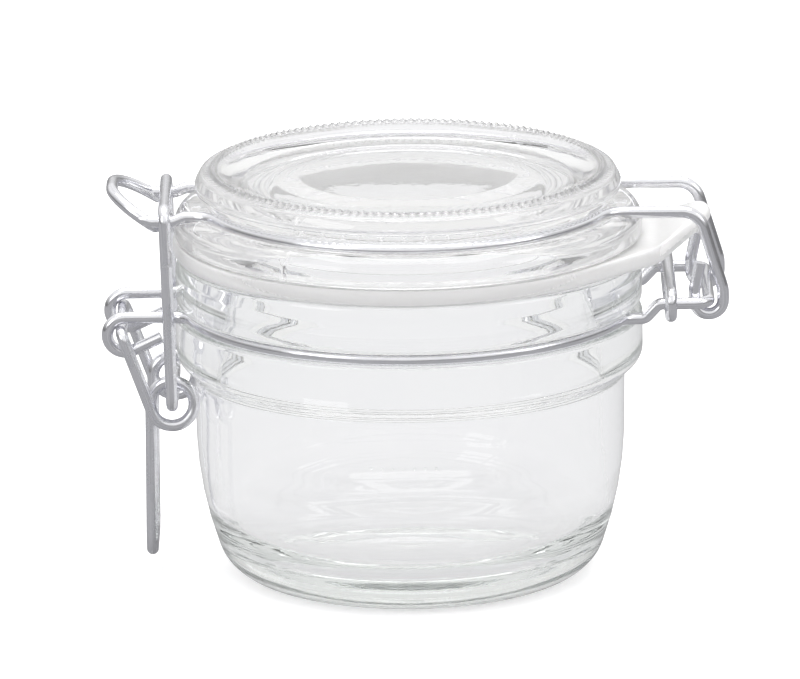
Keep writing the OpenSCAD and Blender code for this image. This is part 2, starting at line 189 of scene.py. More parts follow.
def drawn_wire_tree():
    """Round wire along a chain of points, a little uneven as hand-fed wire is."""
    tree, g, given, result = new_group("Drawn wire", "GeometryNodeTree", {
        "Geometry": (GEOMETRY, None),
        "Wire Radius": (FLOAT, 0.001),
        "Sides": (WHOLE, 20),
        "Unevenness": (FLOAT, 0.0),
        "Material": (MATERIAL, None),
    }, {"Geometry": GEOMETRY})
    line = g.add("GeometryNodeMeshToCurve", {"Mesh": given["Geometry"]})
    thickness = g.add("GeometryNodeInputNamedAttribute", {"Name": "thickness"}, data_type="FLOAT")
    line = g.add("GeometryNodeSetCurveRadius", {"Curve": line, "Radius": thickness})
    here = g.add("GeometryNodeInputPosition")
    sway = g.vector("SUBTRACT", g.noise(here, 45.0, 1.0, out=1), (0.5, 0.5, 0.5))
    sway = g.scaled(sway, given["Unevenness"])
    line = g.add("GeometryNodeSetPosition", {"Geometry": line, "Offset": sway})
    run = g.add("GeometryNodeSplineParameter", out=1)
    line = g.add("GeometryNodeStoreNamedAttribute",
                 {"Geometry": line, "Name": "along", "Value": run},
                 data_type="FLOAT", domain="POINT")
    rim = g.add("GeometryNodeCurvePrimitiveCircle",
                {"Resolution": given["Sides"], "Radius": given["Wire Radius"]})
    rim = g.add("GeometryNodeStoreNamedAttribute",
                {"Geometry": rim, "Name": "rim", "Value": here},
                data_type="FLOAT_VECTOR", domain="POINT")
    mesh = g.add("GeometryNodeCurveToMesh",
                 {"Curve": line, "Profile Curve": rim, "Fill Caps": True})
    finish_tree(g, given, result, mesh)
    return tree


def knurl_tree():
    """Fine teeth cut across the crest of a turned lid, where its points are marked 'tooth'."""
    tree, g, given, result = new_group("Knurled crest", "GeometryNodeTree", {
        "Geometry": (GEOMETRY, None),
        "Teeth": (WHOLE, 150),
        "Depth": (FLOAT, 0.0005),
        "Material": (MATERIAL, None),
    }, {"Geometry": GEOMETRY})
    here = g.add("GeometryNodeInputPosition")
    split = g.tree.nodes.new("ShaderNodeSeparateXYZ")
    g.feed(split.inputs[0], here)
    angle = g.math("ARCTAN2", split.outputs["Y"], split.outputs["X"])
    wave = g.math("COSINE", g.math("MULTIPLY", angle, given["Teeth"]))
    notch = g.math("MULTIPLY", g.math("SUBTRACT", 1.0, wave), 0.5)
    mark = g.add("GeometryNodeInputNamedAttribute", {"Name": "tooth"}, data_type="FLOAT")
    cut = g.math("MULTIPLY", g.math("MULTIPLY", notch, mark), given["Depth"])
    facing = g.add("GeometryNodeInputNormal")
    offset = g.scaled(facing, g.math("MULTIPLY", cut, -1.0))
    moved = g.add("GeometryNodeSetPosition", {"Geometry": given["Geometry"], "Offset": offset})
    # the notch share is kept for the glass, which uses it as the mask for painted shade in the cuts
    kept = g.add("GeometryNodeStoreNamedAttribute",
                 {"Geometry": moved, "Name": "notch", "Value": g.math("MULTIPLY", notch, mark)},
                 data_type="FLOAT", domain="POINT")
    finish_tree(g, given, result, kept)
    return tree


def blown_tree():
    """Glass that set a little uneven on the inside, where its points are marked 'inside'."""
    tree, g, given, result = new_group("Blown wall", "GeometryNodeTree", {
        "Geometry": (GEOMETRY, None),
        "Swell": (FLOAT, 0.0005),
        "Scale": (FLOAT, 40.0),
        "Material": (MATERIAL, None),
    }, {"Geometry": GEOMETRY})
    here = g.add("GeometryNodeInputPosition")
    noise = g.noise(g.vector("MULTIPLY", here, (0.6, 0.6, 1.0)), given["Scale"], 1.0)
    lift = g.math("MULTIPLY", g.math("SUBTRACT", noise, 0.5), given["Swell"])
    mark = g.add("GeometryNodeInputNamedAttribute", {"Name": "inside"}, data_type="FLOAT")
    offset = g.scaled(g.add("GeometryNodeInputNormal"), g.math("MULTIPLY", lift, mark))
    moved = g.add("GeometryNodeSetPosition", {"Geometry": given["Geometry"], "Offset": offset})
    finish_tree(g, given, result, moved)
    return tree


def pip_tree():
    """A small glass pip on each point, as large as its 'size' says."""
    tree, g, given, result = new_group("Pips", "GeometryNodeTree", {
        "Geometry": (GEOMETRY, None),
        "Pip Radius": (FLOAT, 0.0005),
        "Material": (MATERIAL, None),
    }, {"Geometry": GEOMETRY})
    ball = g.add("GeometryNodeMeshIcoSphere",
                 {"Radius": given["Pip Radius"], "Subdivisions": 3})
    size = g.add("GeometryNodeInputNamedAttribute", {"Name": "size"}, data_type="FLOAT")
    points = g.add("GeometryNodeMeshToPoints", {"Mesh": given["Geometry"]})
    placed = g.add("GeometryNodeInstanceOnPoints",
                   {"Points": points, "Instance": ball, "Scale": size})
    finish_tree(g, given, result, placed)
    return tree


def grown(piece, tree, sharp=40.0, **values):
    """Runs a tree on a piece and keeps the result as its plain mesh."""
    modifier = piece.modifiers.new(tree.name, "NODES")
    modifier.node_group = tree
    for item in tree.interface.items_tree:
        label = item.name.replace(" ", "_").lower()
        if item.in_out == "INPUT" and label in values:
            modifier[item.identifier] = values[label]
    bpy.context.view_layer.update()
    graph = bpy.context.evaluated_depsgraph_get()
    mesh = bpy.data.meshes.new_from_object(
        piece.evaluated_get(graph), preserve_all_data_layers=True, depsgraph=graph)
    piece.modifiers.clear()
    piece.data = mesh
    mesh.set_sharp_from_angle(angle=math.radians(sharp))
    return piece


# ---- Shapes --------------------------------------------------------------------------

def new_piece(name, points, edges=(), faces=(), marks=None):
    """A mesh object from points in millimetres, with any point attributes in marks."""
    mesh = bpy.data.meshes.new(name)
    mesh.from_pydata((np.asarray(points, float) * MM).tolist(), list(edges), list(faces))
    for label, values in (marks or {}).items():
        layer = mesh.attributes.new(label, "FLOAT", "POINT")
        layer.data.foreach_set("value", np.asarray(values, np.float32))
    mesh.validate()
    piece = bpy.data.objects.new(name, mesh)
    bpy.context.scene.collection.objects.link(piece)
    return piece


def bent(corners, step=math.radians(6)):
    """Points along a line of corners (x, y, z) or (x, y, z, bend), with round bends."""
    spots = [np.array(c[:3], float) for c in corners]
    line = [spots[0]]
    for i in range(1, len(corners) - 1):
        bend = corners[i][3] if len(corners[i]) > 3 else 0.0
        a, b, c = spots[i - 1], spots[i], spots[i + 1]
        u = (b - a) / np.linalg.norm(b - a)
        v = (c - b) / np.linalg.norm(c - b)
        turn = math.acos(max(-1.0, min(1.0, float(u @ v))))
        if not bend or turn < 1e-4:
            line.append(b)
            continue
        inward = v - u * (u @ v)
        inward /= np.linalg.norm(inward)
        start = b - u * bend * math.tan(turn / 2)
        centre = start + inward * bend
        count = max(2, math.ceil(turn / step))
        for k in range(count + 1):
            t = turn * k / count
            line.append(centre - inward * bend * math.cos(t) + u * bend * math.sin(t))
    line.append(spots[-1])
    return line


def spaced(line, longest):
    """The same line with its long stretches divided."""
    result = [line[0]]
    for a, b in zip(line, line[1:]):
        gap = float(np.linalg.norm(b - a))
        if gap < 1e-5:
            continue
        count = max(1, math.ceil(gap / longest))
        result += [a + (b - a) * k / count for k in range(1, count + 1)]
    return result


def arc(cx, cz, r, start, end, step=5.0):
    """Points (r, z) on an arc in an outline, its angles in degrees."""
    count = max(2, math.ceil(abs(end - start) / step))
    turns = np.radians(np.linspace(start, end, count + 1))
    return [(cx + r * math.cos(t), cz + r * math.sin(t)) for t in turns]


def outline(corners, longest=0.9):
    """Closely spaced points (r, z) along an outline of points (r, z) or (r, z, bend)."""
    solid = [(c[0], 0.0, c[1], *c[2:]) for c in corners]
    line = spaced(bent(solid, math.radians(9)), longest)
    return np.array([(p[0], p[2]) for p in line])


def turned(name, profile, sides, marks=None):
    """Solid of revolution about Z. The profile starts and ends on the axis."""
    rings = profile[1:-1]
    turns = np.arange(sides) * math.tau / sides
    cos, sin = np.cos(turns), np.sin(turns)
    points = np.stack([
        np.outer(rings[:, 0], cos), np.outer(rings[:, 0], sin),
        np.repeat(rings[:, 1:2], sides, axis=1)], axis=-1).reshape(-1, 3)
    points = np.vstack([points, [0.0, 0.0, profile[0, 1]], [0.0, 0.0, profile[-1, 1]]])
    first, last = len(points) - 2, len(points) - 1
    count = len(rings)
    here = np.arange(sides)
    onward = (here + 1) % sides
    faces = []
    for i in range(count - 1):
        a, b = i * sides, (i + 1) * sides
        faces += np.stack([a + here, a + onward, b + onward, b + here], axis=1).tolist()
    faces += np.stack([np.full(sides, first), onward, here], axis=1).tolist()
    rim = (count - 1) * sides
    faces += np.stack([rim + here, rim + onward, np.full(sides, last)], axis=1).tolist()
    spread = {}
    for label, values in (marks or {}).items():
        ends = [values[0], values[-1]]
        spread[label] = np.concatenate([np.repeat(values[1:-1], sides), ends])
    return new_piece(name, points, faces=faces, marks=spread)


# ---- Materials -----------------------------------------------------------------------

CLEAN_GLASS = (0.995, 0.995, 0.995, 1.0)
HANDLED_GLASS = (0.98, 0.98, 0.985, 1.0)
# painted shade: a near-black tint for the knurl cuts, standing in for the dark refraction in the
# teeth
SHADED_CUT = (0.10, 0.10, 0.11, 1.0)
BRIGHT_ZINC = (0.86, 0.86, 0.89, 1.0)
DULL_ZINC = (0.72, 0.73, 0.77, 1.0)
RUBBER = (0.84, 0.835, 0.83, 1.0)
CLOUDED_RUBBER = (0.87, 0.865, 0.86, 1.0)
DUST = (0.95, 0.95, 0.94, 1.0)


def glass_skin_group():
    """Pressed glass: slow waves, a fine ripple, faint handling marks and painted shade in the knurl
    cuts.
    """
    tree, g, given, result = new_group("Glass skin", "ShaderNodeTree", {
        "Wave": (FLOAT, 0.5), "Ripple": (FLOAT, 0.2), "Haze": (FLOAT, 0.02),
    }, {"Height": FLOAT, "Roughness": FLOAT, "Tint": COLOUR})
    where = g.add("ShaderNodeTexCoord", out=3)
    long_wave = g.vector("MULTIPLY", where, (0.5, 0.5, 1.0))
    wave = g.noise(long_wave, 60.0, 2.0)
    ripple = g.noise(where, 420.0, 2.0)
    height = g.math("ADD", g.math("MULTIPLY", wave, given["Wave"]),
                    g.math("MULTIPLY", ripple, given["Ripple"]))
    g.feed(result["Height"], height)
    smear = g.noise(where, 95.0, 6.0, 0.7)
    patch = g.add("ShaderNodeMapRange", {"Value": smear, "From Min": 0.5, "From Max": 0.78})
    notch = g.add("ShaderNodeAttribute", attribute_name="notch", out=2)
    haze = g.math("MULTIPLY", patch, given["Haze"])
    g.feed(result["Roughness"], g.math("ADD", haze, g.math("MULTIPLY", notch, 0.35)))
    clear = g.blend(patch, CLEAN_GLASS, HANDLED_GLASS)
    # the knurl cuts take the near-black tint: painted shade, not a colour of the glass
    g.feed(result["Tint"], g.blend(notch, clear, SHADED_CUT))
    return tree


def drawn_metal_group():
    """Bright galvanised wire: drawing lines along it, dull zinc patches and rubbed spots."""
    tree, g, given, result = new_group("Drawn metal", "ShaderNodeTree", {
        "Lines": (FLOAT, 1.0), "Patches": (FLOAT, 1.0), "Polish": (FLOAT, 0.3),
    }, {"Colour": COLOUR, "Roughness": FLOAT, "Height": FLOAT})
    rim = g.add("ShaderNodeAttribute", attribute_name="rim", out=1)
    along = g.add("ShaderNodeAttribute", attribute_name="along", out=2)
    run = g.add("ShaderNodeCombineXYZ", {"Z": along})
    where = g.vector("ADD", rim, run)
    stretched = g.vector("MULTIPLY", where, (1.0, 1.0, 0.02))
    lines = g.noise(stretched, 5200.0, 3.0)
    patch_at = g.vector("MULTIPLY", where, (1.0, 1.0, 0.5))
    cloud = g.noise(patch_at, 420.0, 5.0, 0.65)
    patch = g.add("ShaderNodeMapRange", {"Value": cloud, "From Min": 0.44, "From Max": 0.66})
    patch = g.math("MULTIPLY", patch, given["Patches"], clamp=True)
    pits = g.noise(where, 2600.0, 2.0)
    base = g.blend(patch, BRIGHT_ZINC, DULL_ZINC)
    streak = g.add("ShaderNodeMapRange", {"Value": lines, "From Min": 0.3, "From Max": 0.7,
                                          "To Min": 0.9, "To Max": 1.06})
    g.feed(result["Colour"], g.scaled(base, streak))
    rough = g.math("ADD", given["Polish"], g.math("MULTIPLY", patch, 0.22))
    rough = g.math("ADD", rough, g.math("MULTIPLY", g.math("SUBTRACT", lines, 0.5), 0.12))
    g.feed(result["Roughness"], rough)
    height = g.math("ADD", g.math("MULTIPLY", lines, given["Lines"]),
                    g.math("MULTIPLY", pits, 0.5))
    g.feed(result["Height"], height)
    return tree


def soft_rubber_group():
    """Milky rubber: clouded colour, a moulded bloom and fine specks of dust."""
    tree, g, given, result = new_group("Soft rubber", "ShaderNodeTree", {
        "Cloud": (FLOAT, 1.0), "Dust": (FLOAT, 0.3),
    }, {"Colour": COLOUR, "Roughness": FLOAT, "Height": FLOAT})
    where = g.add("ShaderNodeTexCoord", out=3)
    cloud = g.noise(where, 70.0, 4.0)
    blend = g.math("MULTIPLY", cloud, given["Cloud"], clamp=True)
    base = g.blend(blend, RUBBER, CLOUDED_RUBBER)
    speck = g.noise(where, 1500.0, 2.0)
    dust = g.add("ShaderNodeMapRange", {"Value": speck, "From Min": 0.66, "From Max": 0.72})
    dust = g.math("MULTIPLY", dust, given["Dust"])
    g.feed(result["Colour"], g.blend(dust, base, DUST))
    rough = g.math("ADD", 0.36, g.math("MULTIPLY", cloud, 0.16))
    g.feed(result["Roughness"], g.math("ADD", rough, g.math("MULTIPLY", dust, 0.4)))
    fine = g.noise(where, 900.0, 2.0)
    g.feed(result["Height"], g.math("ADD", g.math("MULTIPLY", cloud, 2.0), fine))
    return tree


def new_material(name, group, settings, surface, depth, linked):
    """A Principled material whose changing values come from a shared group."""
    material = bpy.data.materials.new(name)
    material.use_nodes = True
    tree = material.node_tree
    tree.nodes.clear()
    g = Graph(tree)
    effect = tree.nodes.new("ShaderNodeGroup")
    effect.node_tree = group
    for label, value in settings.items():
        effect.inputs[label].default_value = value
    shader = tree.nodes.new("ShaderNodeBsdfPrincipled")
    for label, value in surface.items():
        shader.inputs[label].default_value = value
    for source, target in linked.items():
        g.feed(shader.inputs[target], effect.outputs[source])
    bump = g.add("ShaderNodeBump", {"Height": effect.outputs["Height"], "Distance": depth})
    g.feed(shader.inputs["Normal"], bump)
    end = tree.nodes.new("ShaderNodeOutputMaterial")
    g.feed(end.inputs["Surface"], shader.outputs[0])
    return material, g, end


def glass(name, wave, ripple, haze, depth):
    """Clear soda-lime glass, a little grey-green where it is thick."""
    material, g, end = new_material(
        name, skin_group, {"Wave": wave, "Ripple": ripple, "Haze": haze},
        {"Transmission Weight": 1.0, "IOR": 1.5, "Metallic": 0.0},
        0.0002, {"Roughness": "Roughness", "Tint": "Base Color"})
    colour, density = depth
    fog = g.add("ShaderNodeVolumeAbsorption", {"Color": colour, "Density": density})
    g.feed(end.inputs["Volume"], fog)
    caught = g.add("ShaderNodeLightPath", out="Ray Depth")
    shader = end.inputs["Surface"].links[0].from_node
    g.feed(shader.inputs["Alpha"], g.math("LESS_THAN", caught, TURNS_INSIDE + 0.5))
    return material


def steel(name, polish, patches):
    """Bright drawn wire."""
    return new_material(
        name, metal_group, {"Polish": polish, "Patches": patches, "Lines": 1.0},
        {"Metallic": 1.0}, 0.00002,
        {"Colour": "Base Color", "Roughness": "Roughness"})[0]


skin_group = glass_skin_group()
metal_group = drawn_metal_group()
rubber_group = soft_rubber_group()
TURNS_INSIDE = 9  # light that has met this many surfaces is let straight out of the glass
# colour that the glass takes with depth, and how fast
JAR_DEPTH = ((0.60, 0.64, 0.615, 1.0), 9.0)
LID_DEPTH = ((0.60, 0.60, 0.585, 1.0), 3.5)
jar_glass = glass("Jar glass", 0.12, 0.03, 0.02, JAR_DEPTH)
lid_glass = glass("Lid glass", 0.08, 0.03, 0.02, LID_DEPTH)
bail_steel = steel("Bail steel", 0.15, 0.35)
latch_steel = steel("Latch steel", 0.2, 0.5)
milky_rubber = new_material(
    "Milky rubber", rubber_group, {"Cloud": 1.0, "Dust": 0.3},
    {"Metallic": 0.0, "IOR": 1.45, "Subsurface Weight": 0.6,
     "Subsurface Radius": (0.004, 0.004, 0.0038), "Subsurface Scale": 1.0,
     "Transmission Weight": 0.45,
     "Coat Weight": 0.15, "Coat Roughness": 0.3},
    0.00004, {"Colour": "Base Color", "Roughness": "Roughness"})[0]


# ---- Glass ---------------------------------------------------------------------------

JAR_SIDES = 288
LID_TEETH = 150
LID_SIDES = 4 * LID_TEETH
LID_STEP = 2.3  # longest stretch between two points of the lid's outline
SEAM_TURN = -121.9  # where the two halves of the mould met, in degrees
SEAM_HALF = 0.4  # degrees on each side of the seam that it lifts
SEAM_HIGH = 0.16


def make_jar():
    """Body with a push-up base, a swollen shoulder, a groove for the wire and a round rim."""
    ledge, wall, mouth_r, foot_r, floor_z = 3.2, 4.0, 32.5, 26.3, 6.0
    body_r = shoulder_r - ledge
    inner_r = body_r - wall
    corner_r, lean, barrel_r = 8.1, 19.7, 65.0
    swell_foot, swell_h = neck_z - 12.6, 5.0
    join = (foot_r + corner_r * math.cos(math.radians(lean)),
            corner_r - corner_r * math.sin(math.radians(lean)))
    barrel = (join[0] - barrel_r * math.cos(math.radians(lean)),
              join[1] + barrel_r * math.sin(math.radians(lean)))
    swell_r = (ledge ** 2 + swell_h ** 2) / (4 * ledge)
    swell_a = 2 * math.degrees(math.atan2(ledge, swell_h))
    groove_r = WIRE_R + GROOVE_GAP
    neck_r = shoulder_r - 0.1
    under = [(0.0, 1.4), (9.0, 1.32), (16.0, 1.1), (21.0, 0.75, 2.0), (22.7, 0.12, 0.6),
             (24.4, 0.0)]
    outside = [
        *arc(foot_r, corner_r, corner_r, -90, -lean),
        *arc(*barrel, barrel_r, -lean, -2),
        *arc(body_r + swell_r, swell_foot, swell_r, 180, 180 - swell_a),
        *arc(shoulder_r - swell_r, swell_foot + swell_h, swell_r, -swell_a, 0),
        (shoulder_r, neck_z - groove_r, 0.7), (neck_ring_r, neck_z - groove_r),
        *arc(neck_ring_r, neck_z, groove_r, -90, -270, 15),
        (neck_r, neck_z + groove_r, 0.7), (neck_r, jar_h - 2.9, 3.0),
        (shoulder_r - 0.6, jar_h, 1.2), (mouth_r + 2.0, jar_h, 1.0)]
    inside = [(mouth_r, jar_h - 0.3, 1.0), (mouth_r, neck_z + 1.0, 6.0),
              (inner_r, swell_foot, 14.0), (inner_r, floor_z + 0.2, 9.0),
              (15.0, floor_z - 0.1, 20.0), (0.0, floor_z + 0.35)]
    profile = outline(under + outside + inside)
    height = profile[:, 1]
    order = np.arange(len(height))
    rim = int(np.argmax(height + 0.001 * order))  # the last of the highest points
    even_h = 6.0  # the mouth stays true this far down, and as far again it fades
    below = jar_h - even_h - height
    soft = ((order > rim) & (below > 0)) * np.clip(below / even_h, 0, 1)
    piece = turned("jar_glass", profile, JAR_SIDES, {"inside": soft})
    grown(piece, blown_tree(), swell=0.45 * MM, scale=34.0, material=jar_glass)
    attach(piece, "base")
    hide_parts("jar")


def make_lid():
    """Domed flange, a groove for the wire, a disc with a knurled crest and a shallow dish."""
    flange_r, boss_r, seal_z = shoulder_r, 31.5, jar_h + 3.1
    disc_r, crest_r, dish_z = 37.45, 34.1, top_z - 2.2
    groove_in = lid_ring_r - WIRE_R - GROOVE_GAP
    low, hollow_z, hollow_r = seal_z - 5.6, seal_z + 4.4, 27.5
    under = [(0.0, hollow_z), (hollow_r, hollow_z, 4.0), (hollow_r, low, 0.9),
             (boss_r, low, 1.3), (boss_r, seal_z)]
    side = [
        *arc(flange_r - 0.8, seal_z + 0.8, 0.8, -90, 0, 15),
        *arc(flange_r - 3.4, seal_z + 2.2, 3.4, 0, 82, 6),
        (groove_in, lid_ring_z - 0.3, 0.4), (groove_in, lid_ring_z + 1.1, 0.5),
        (disc_r - 0.9, lid_ring_z + 1.5, 0.8), (disc_r + 0.1, top_z - 3.2, 1.6),
        (disc_r - 1.1, top_z - 0.9, 1.2), (crest_r + 0.75, top_z - 0.55, 0.3)]
    top = [(crest_r + 0.35, top_z - 0.05), (crest_r, top_z), (crest_r - 0.4, top_z - 0.05),
           (crest_r - 0.9, top_z - 0.6, 0.5), (30.8, top_z - 1.5, 1.5),
           (28.4, dish_z, 3.0), (23.5, dish_z, 8.0), (19.0, dish_z + 0.35, 8.0),
           (0.0, dish_z + 0.45)]
    profile = outline(under + side + top, LID_STEP)
    reach, height = profile[:, 0], profile[:, 1]
    near = np.clip(1 - np.abs(reach - crest_r), 0, 1) * (height > top_z - 0.9)
    piece = turned("lid_glass", profile, LID_SIDES, {"tooth": np.sqrt(near)})
    for point in piece.data.vertices:
        reach_here = math.hypot(point.co.x, point.co.y) / MM
        turn = math.degrees(math.atan2(point.co.y, point.co.x))
        away = abs((turn - SEAM_TURN + 90.0) % 180.0 - 90.0)
        if reach_here > crest_r + 2.0 and away < SEAM_HALF:
            growth = 1 + SEAM_HIGH / reach_here
            point.co.x *= growth
            point.co.y *= growth
    grown(piece, knurl_tree(), teeth=LID_TEETH, depth=0.5 * MM, material=lid_glass)
    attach(piece, "cover")
    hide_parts("lid")


def make_pips():
    """Small raised pips low on the front of the lid's disc and across the front of the body."""
    tree = pip_tree()
    body_turns = [-10.5, -7.6, -4.8, -2.0, 0.9, 3.7, 6.6]
    lid_turns = [-29.3, -23.3, -17.6, -12.8, -7.2, -1.2, 4.6, 10.5, 18.4, 26.7, 32.1]
    rows = [
        ("lid_pips", "cover", "glass_lid", lid_glass, 37.15, top_z - 4.1, lid_turns, 0.42),
        ("body_pips", "base", "glass_body", jar_glass, shoulder_r - 3.22, 28.2, body_turns, 0.2),
    ]
    for name, body, slot, material, reach, height, turns, radius in rows:
        spots = [(reach * math.sin(math.radians(t)), -reach * math.cos(math.radians(t)), height)
                 for t in turns]
        sizes = [1.0 + 0.3 * math.sin(7.0 * t) for t in turns]
        piece = new_piece(name, spots, marks={"size": sizes})
        grown(piece, tree, pip_radius=radius * MM, material=material)
        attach(piece, body)


# ---- Gasket --------------------------------------------------------------------------

def make_gasket():
    """Flat rubber ring with soft edges and a round-ended tab that bends up past the glass."""
    inner, outer = 31.9, box_mm("gasket")[1][1]
    low, high = jar_h + 0.03, jar_h + 3.07
    middle, half_thick = (low + high) / 2, (high - low) / 2
    inner_round, outer_round = 0.4, 0.75
    tab_half, tab_end, slope = 9.1, 52.8, math.radians(29)
    bend_x, bend_run = shoulder_r + 1.0, 2.4  # where the tab starts to bend, and how long it does
    thinned, thinned_over = 0.18, 3.0
    tip_x = tab_end - tab_half
    # the tab's edges are the lines that touch both the ring and the round end
    touch = math.acos((outer - tab_half) / tip_x)
    leave = math.atan2(tab_half * math.sin(touch), tip_x + tab_half * math.cos(touch))
    fine = np.radians(np.arange(-46, 46.01, 0.4))
    turns = np.concatenate([fine, np.radians(np.arange(47.2, 312.9, 1.3))])
    section = []  # how far out from 0 to 1, and up or down from -1 to 1
    reach_steps = np.linspace(0, 1, 26)
    section += [(t, -1.0) for t in reach_steps]
    section += [(1.0, math.sin(a)) for a in np.radians(np.arange(-75, 76, 15))]
    section += [(t, 1.0) for t in reach_steps[::-1]]
    section += [(0.0, math.sin(a)) for a in np.radians(np.arange(75, -76, -15))]
    points = []
    for turn in turns:
        c, s = math.cos(turn), math.sin(turn)
        if abs(turn) < leave:
            edge = tip_x * c + math.sqrt(tab_half ** 2 - (tip_x * s) ** 2)
        elif abs(turn) < touch:
            edge = outer / math.cos(abs(turn) - touch)
        else:
            edge = outer
        for out, up in section:
            bulge = math.sqrt(max(0.0, 1 - up * up))
            if out == 1.0:
                r = edge - outer_round * (1 - bulge)
            elif out == 0.0:
                r = inner + inner_round * (1 - bulge)
            else:
                r = inner + inner_round + (edge - inner - inner_round - outer_round) * out
            x, y = r * c, r * s
            past = max(0.0, x - bend_x)
            thick = half_thick * (1 - thinned * min(1.0, past / thinned_over))
            bow = min(past, bend_run)
            lean = slope * bow / bend_run
            lift = math.tan(slope) * (bow * bow / (2 * bend_run) + max(0.0, past - bend_run))
            x -= up * thick * math.sin(lean)
            points.append((x, y, middle + lift + up * thick * math.cos(lean)))
    wide, long = len(section), len(turns)
    faces = []
    for i in range(long):
        j = (i + 1) % long
        for k in range(wide):
            m = (k + 1) % wide
            faces.append((i * wide + k, i * wide + m, j * wide + m, j * wide + k))
    piece = new_piece("gasket_rubber", points, faces=faces)
    piece.data.materials.append(milky_rubber)
    piece.data.shade_smooth()
    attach(piece, "cover")
    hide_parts("gasket")


# ---- Wires ---------------------------------------------------------------------------

wire_tree = drawn_wire_tree()
END_FACE = ((0.0, 0.8), (0.12, 0.95), (0.3, 1.0))  # distance from a cut end, thickness there


def make_wire(name, line, body, node, material, closed=False, bead=None):
    """Sweeps wire along a line. bead is (point, length, growth) of a weld."""
    line = spaced([np.asarray(p, float) for p in line], 1.5)
    if not closed:
        for flip in (1, -1):
            line = line[::flip]
            way = line[1] - line[0]
            way /= np.linalg.norm(way)
            line = [line[0] + way * d for d, _ in END_FACE] + line[1:]
            line = line[::flip]
    else:
        line = line[:-1]
    points = np.array(line)
    thickness = np.ones(len(points))
    if not closed:
        for k, (_, share) in enumerate(END_FACE):
            thickness[k] = thickness[-1 - k] = share
    if bead:
        spot, length, growth = bead
        away = np.linalg.norm(points - np.array(spot), axis=1)
        thickness += growth * np.clip(1 - (away / (length / 2)) ** 4, 0, 1)
        thickness -= 1.6 * growth * np.exp(-(away / 0.3) ** 2)
    edges = [(i, i + 1) for i in range(len(points) - 1)]
    if closed:
        edges.append((len(points) - 1, 0))
    piece = new_piece(name, points, edges=edges, marks={"thickness": thickness})
    grown(piece, wire_tree, wire_radius=WIRE_R * MM, sides=24, unevenness=0.12 * MM,
          material=material)
    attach(piece, body)
    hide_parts(node)


def mirrored(half):
    """A half route that starts on the middle plane, joined to its mirror image."""
    half = [tuple(p) for p in half]
    other = [(p[0], -p[1], *p[2:]) for p in reversed(half)]
    return other + half[1:]


def leave_angle(r, y, fillet):
    """Angle at which a ring hands over to a straight arm at half-width y."""
    return math.asin((y + fillet) / (r + fillet))


def ring_points(r, z, start, end):
    """Points on a level ring, from one angle to another in radians."""
    count = math.ceil(abs(end - start) / math.radians(2.5))
    return [(r * math.cos(t), r * math.sin(t), z) for t in np.linspace(start, end, count + 1)]


def corner_of(r, y, fillet):
    """Where the straight arm would meet the ring's tangent."""
    a = leave_angle(r, y, fillet)
    return r * math.cos(a) + (r * math.sin(a) - y) * math.tan(a)


def arm_start(r, y, fillet):
    """Where the straight part of an arm starts."""
    return (r + fillet) * math.cos(leave_angle(r, y, fillet))


def upright_arc(x, y, z, r, start, end, step=9.0):
    """Points on an arc in a plane across Y, its angles in degrees."""
    count = max(2, math.ceil(abs(end - start) / step))
    turns = np.radians(np.linspace(start, end, count + 1))
    return [(x + r * math.cos(t), y, z + r * math.sin(t)) for t in turns]


def make_neck_ring():
    """Ring round the neck, out to the hinge bar at one side and to two eyes at the other."""
    r, fillet, bar_bend, eye_r = neck_ring_r, 4.0, 2.6, 3.1
    tail, away = 25.0, 5.5  # how the wire leaves the eye: its slope in degrees and its length
    eye_x, eye_z = pivot_x + 0.636, neck_z - eye_r
    step_x = arm_start(r, HINGE_HALF, fillet) + 1.1
    half = [
        (hinge_x, 0.0, hinge_z), (hinge_x, HINGE_HALF, hinge_z, bar_bend),
        (step_x + 2.4, HINGE_HALF, hinge_z, 1.6), (step_x, HINGE_HALF, neck_z, 1.6),
        (corner_of(r, HINGE_HALF, fillet), HINGE_HALF, neck_z, fillet)]
    half += ring_points(r, neck_z, leave_angle(r, HINGE_HALF, fillet),
                        math.pi - leave_angle(r, EYE_HALF, fillet))
    half += [(-corner_of(r, EYE_HALF, fillet), EYE_HALF, neck_z, fillet)]
    half += upright_arc(eye_x, EYE_HALF, eye_z, eye_r, 90, 270 + tail)
    last = half[-1]
    half += [(last[0] + away * math.cos(math.radians(tail)), EYE_HALF,
              last[2] + away * math.sin(math.radians(tail)))]
    make_wire("neck_ring_wire", bent(mirrored(half)), "base", "neck_ring",
              bail_steel)


def make_neck_clip():
    """Oval staple round the hinge loop's two arms, its cut ends meeting underneath."""
    x = float(np.mean([c[0] for c in box_mm("neck_clip")]))
    out, over, gap = HINGE_HALF + PITCH, PITCH, 0.5
    end_r = over - 0.3
    corners = [(0, gap, -over), (0, out, -over, end_r), (0, out, over, end_r),
               (0, -out, over, end_r), (0, -out, -over, end_r), (0, -gap, -over)]
    route = [(x, c[1], hinge_z + c[2], *c[3:]) for c in corners]
    make_wire("neck_clip_wire", bent(route), "base", "neck_clip", bail_steel)


